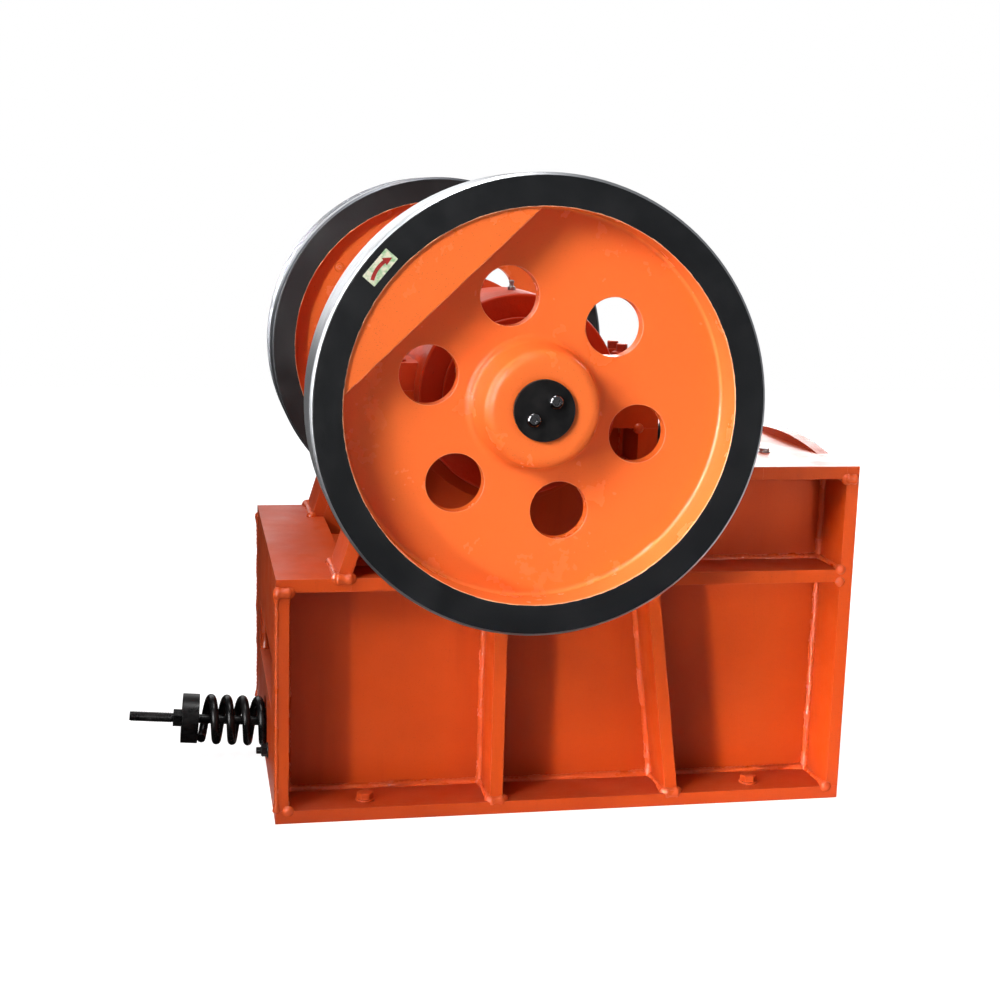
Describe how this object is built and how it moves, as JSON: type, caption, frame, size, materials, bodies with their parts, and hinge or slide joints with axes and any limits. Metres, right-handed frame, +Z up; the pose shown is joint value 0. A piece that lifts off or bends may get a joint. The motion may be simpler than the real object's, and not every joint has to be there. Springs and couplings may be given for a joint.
{
  "type": "jaw crusher",
  "caption": "Single-toggle jaw crusher: welded plate frame, eccentric shaft with plain and grooved flywheels, toothed jaws, toggle plate and spring tension rod.",
  "frame": {"origin": "centre of the four foundation holes, in the plane of the base", "axes": "+X towards the feed end, +Y from the plain flywheel to the grooved one, +Z up"},
  "size_m": [1.5168, 1.417, 1.314],
  "materials": {
    "frame_paint": "gloss enamel over welded plate",
    "wheel_paint": "gloss enamel on cast iron, black rim faces and machined treads",
    "housing_paint": "gloss enamel on castings",
    "black_paint": "black enamel",
    "black_steel": "blackened and oiled",
    "bare_steel": "machined",
    "manganese_steel": "as cast",
    "jaw_paint": "painted casting"
  },
  "bodies": {
    "frame": {"near_side_plate": "frame_paint", "far_side_plate": "frame_paint", "near_bearing_seat": "frame_paint", "far_bearing_seat": "frame_paint", "near_base_flange": "frame_paint", "far_base_flange": "frame_paint", "near_mid_flange": "frame_paint", "far_mid_flange": "frame_paint", "near_top_flange": "frame_paint", "far_top_flange": "frame_paint", "near_rear_flange": "frame_paint", "far_rear_flange": "frame_paint", "near_slope_flange": "frame_paint", "far_slope_flange": "frame_paint", "near_edge_rib": "frame_paint", "far_edge_rib": "frame_paint", "near_side_ribs": "frame_paint", "far_side_ribs": "frame_paint", "near_cheek_plate": "manganese_steel", "far_cheek_plate": "manganese_steel", "near_bearing_housing": "housing_paint", "far_bearing_housing": "housing_paint", "near_housing_cover": "housing_paint", "far_housing_cover": "housing_paint", "rear_deck": "frame_paint", "rear_beam": "frame_paint", "lower_cross_plate": "frame_paint", "front_wall": "frame_paint", "front_deck": "frame_paint", "backing_wall": "frame_paint", "front_gussets": "frame_paint", "toggle_block": "frame_paint", "fixed_jaw_plate": "manganese_steel", "toggle_plate": "manganese_steel", "tension_rod": "black_steel", "tension_spring": "black_steel", "spring_washer": "black_steel", "tension_nut": "black_steel"},
    "shaft": {"eccentric_shaft": "bare_steel", "plain_flywheel": "wheel_paint", "grooved_flywheel": "wheel_paint", "near_end_cap": "black_paint", "far_end_cap": "black_paint"},
    "jaw": {"moving_jaw": "jaw_paint", "moving_jaw_plate": "manganese_steel"}
  },
  "joints": [
    {"name": "shaft_spin", "type": "hinge", "parent": "frame", "child": "shaft", "pos_m": [-0.1425, 0, 0.889], "axis": [0, 1, 0], "continuous": true},
    {"name": "jaw_swing", "type": "hinge", "parent": "shaft", "child": "jaw", "pos_m": [-0.13833, 0, 0.88468], "axis": [0, 1, 0], "continuous": true}
  ],
  "couplings": [
    {"joint": "jaw_swing", "follows": "shaft_spin", "ratio": -1}
  ]
}
